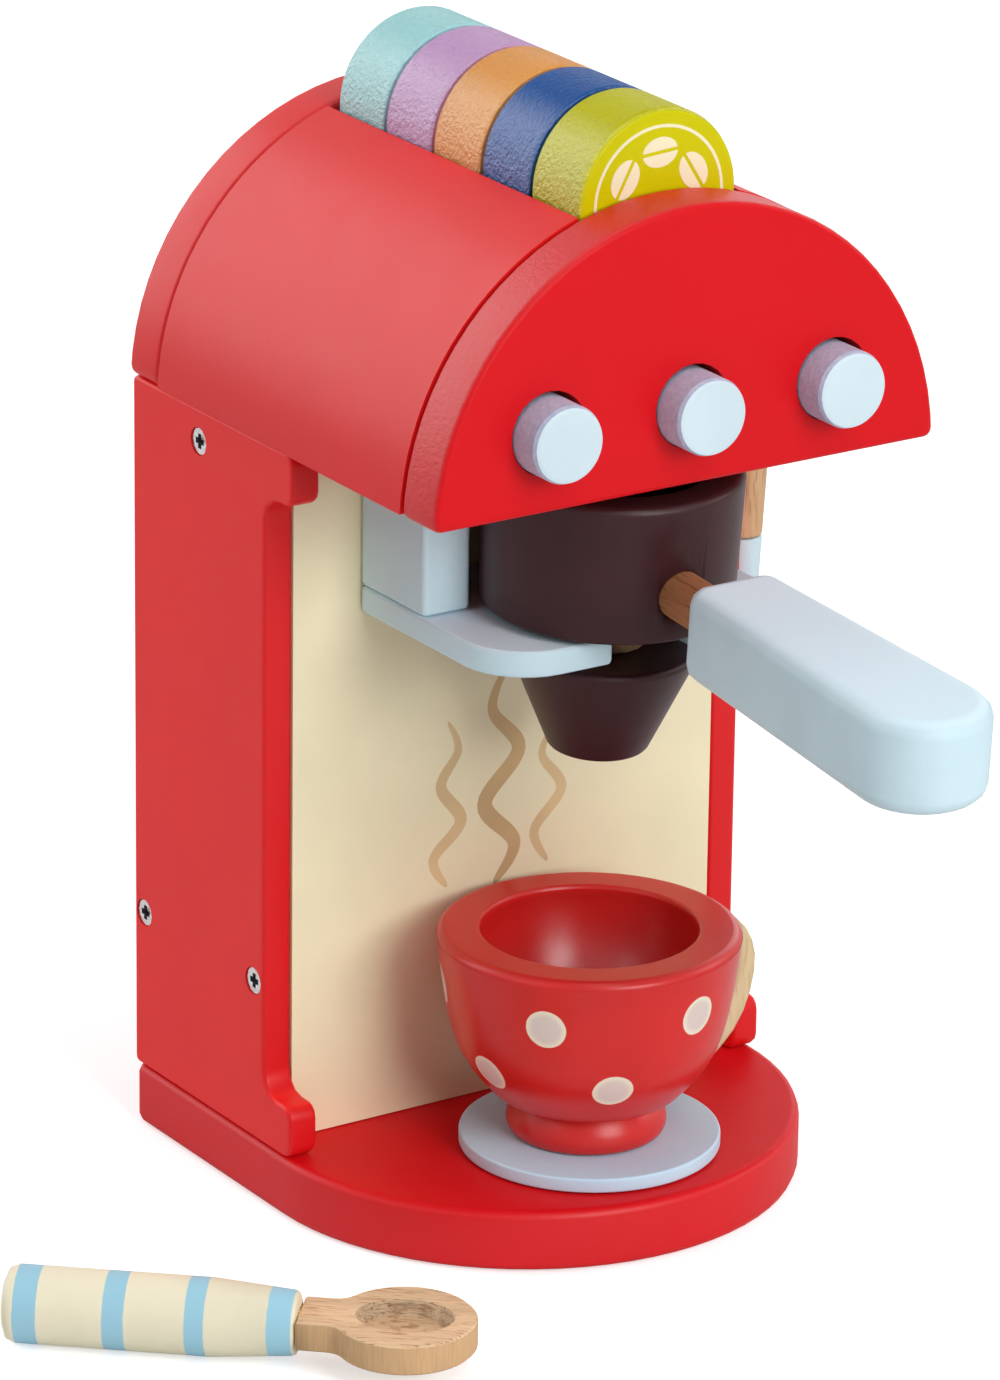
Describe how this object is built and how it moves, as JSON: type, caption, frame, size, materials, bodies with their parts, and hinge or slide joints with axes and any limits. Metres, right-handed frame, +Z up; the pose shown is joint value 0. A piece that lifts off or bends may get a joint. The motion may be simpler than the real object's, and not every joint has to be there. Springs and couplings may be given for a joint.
{
  "type": "toy coffee maker",
  "caption": "Wooden toy coffee maker: half-round roof with pods and press buttons, lift-out filter holder, steam wand, cup on a drip disc and a scoop.",
  "frame": {"origin": "on the base's underside, under the centre of its round front", "axes": "+Z up, -Y to the front where the buttons are, +X to the right as seen from the front"},
  "size_m": [0.2571, 0.2515, 0.2883],
  "materials": {
    "red_paint": "satin paint on wood",
    "cream_paint": "satin paint on wood",
    "blue_paint": "satin paint on wood",
    "disc_paint": "satin paint on wood",
    "dark_paint": "satin paint on wood",
    "bare_beech": "bare, sanded",
    "bare_plywood": "bare, sanded",
    "scoop_paint": "satin paint on wood, with bands",
    "steel": "zinc plated",
    "pod_mint": "matt paint on wood",
    "pod_lilac": "matt paint on wood",
    "pod_orange": "matt paint on wood",
    "pod_blue": "matt paint on wood",
    "pod_lime": "matt paint on wood"
  },
  "bodies": {
    "machine": {"base_plate": "red_paint", "side_panel_left": "red_paint", "side_panel_right": "red_paint", "back_panel": "red_paint", "roof_back_plate": "red_paint", "roof_front_plate": "red_paint", "roof_shell_left": "red_paint", "roof_shell_right": "red_paint", "roof_floor": "red_paint", "front_panel": "cream_paint", "top_rail": "bare_plywood", "trough_floor": "bare_plywood", "trough_wall_left": "bare_plywood", "trough_wall_right": "bare_plywood", "spring_board": "bare_plywood", "button_spring_left": "steel", "button_spring_middle": "steel", "button_spring_right": "steel", "bracket_block_left": "blue_paint", "bracket_block_right": "blue_paint", "fork_plate": "blue_paint", "wand_peg": "bare_beech", "drip_disc": "disc_paint", "side_screw_1": "steel", "side_screw_2": "steel", "side_screw_3": "steel", "side_screw_4": "steel", "side_screw_5": "steel", "side_screw_6": "steel", "base_screw_1": "steel", "base_screw_2": "steel", "base_screw_3": "steel", "base_screw_4": "steel", "fork_screw_1": "steel", "fork_screw_2": "steel", "roof_screw_1": "steel", "roof_screw_2": "steel"},
    "button_left": {"button_cap_left": "blue_paint", "button_plunger_left": "bare_beech"},
    "button_middle": {"button_cap_middle": "blue_paint", "button_plunger_middle": "bare_beech"},
    "button_right": {"button_cap_right": "blue_paint", "button_plunger_right": "bare_beech"},
    "loose_pod_1": {"pod_1": "pod_mint"},
    "loose_pod_2": {"pod_2": "pod_lilac"},
    "loose_pod_3": {"pod_3": "pod_orange"},
    "loose_pod_4": {"pod_4": "pod_blue"},
    "loose_pod_5": {"pod_5": "pod_lime"},
    "holder_carriage": {"holder_collar": "bare_beech"},
    "filter_holder": {"holder_basket": "dark_paint", "holder_spout": "dark_paint", "handle_dowel": "bare_beech", "handle_grip": "blue_paint"},
    "cup": {"cup_body": "red_paint", "cup_handle": "bare_beech"},
    "scoop": {"scoop_handle": "scoop_paint", "scoop_head": "bare_beech"},
    "steam_wand": {"wand_handle": "bare_beech", "wand_tip": "blue_paint"}
  },
  "joints": [
    {"name": "press_left", "type": "slide", "parent": "machine", "child": "button_left", "axis": [0, 1, 0], "range_m": [0, 0.0045], "stiffness_N_per_m": 300, "springref_m": -0.005, "deforming": ["button_spring_left"]},
    {"name": "press_middle", "type": "slide", "parent": "machine", "child": "button_middle", "axis": [0, 1, 0], "range_m": [0, 0.0045], "stiffness_N_per_m": 300, "springref_m": -0.005, "deforming": ["button_spring_middle"]},
    {"name": "press_right", "type": "slide", "parent": "machine", "child": "button_right", "axis": [0, 1, 0], "range_m": [0, 0.0045], "stiffness_N_per_m": 300, "springref_m": -0.005, "deforming": ["button_spring_right"]},
    {"name": "lift_pod_1", "type": "slide", "parent": "machine", "child": "loose_pod_1", "axis": [0, 0, 1], "range_m": [0, 0.06]},
    {"name": "lift_pod_2", "type": "slide", "parent": "machine", "child": "loose_pod_2", "axis": [0, 0, 1], "range_m": [0, 0.06]},
    {"name": "lift_pod_3", "type": "slide", "parent": "machine", "child": "loose_pod_3", "axis": [0, 0, 1], "range_m": [0, 0.06]},
    {"name": "lift_pod_4", "type": "slide", "parent": "machine", "child": "loose_pod_4", "axis": [0, 0, 1], "range_m": [0, 0.06]},
    {"name": "lift_pod_5", "type": "slide", "parent": "machine", "child": "loose_pod_5", "axis": [0, 0, 1], "range_m": [0, 0.06]},
    {"name": "holder_pull", "type": "slide", "parent": "machine", "child": "holder_carriage", "axis": [0, -1, 0], "range_m": [0, 0.1]},
    {"name": "holder_turn", "type": "hinge", "parent": "holder_carriage", "child": "filter_holder", "pos_m": [0, -0.0347, 0.16128], "axis": [0, -0.0698, 0.9976], "range_deg": [-80, 80]},
    {"name": "cup_lift", "type": "slide", "parent": "machine", "child": "cup", "axis": [0, -0.866, 0.5], "range_m": [0, 0.12]},
    {"name": "scoop_lift", "type": "slide", "parent": "machine", "child": "scoop", "axis": [0, 0, 1], "range_m": [0, 0.1]},
    {"name": "wand_swing", "type": "hinge", "parent": "machine", "child": "steam_wand", "pos_m": [0.078, 0.0194, 0.184], "axis": [1, 0, 0], "range_deg": [-75, 45]}
  ]
}
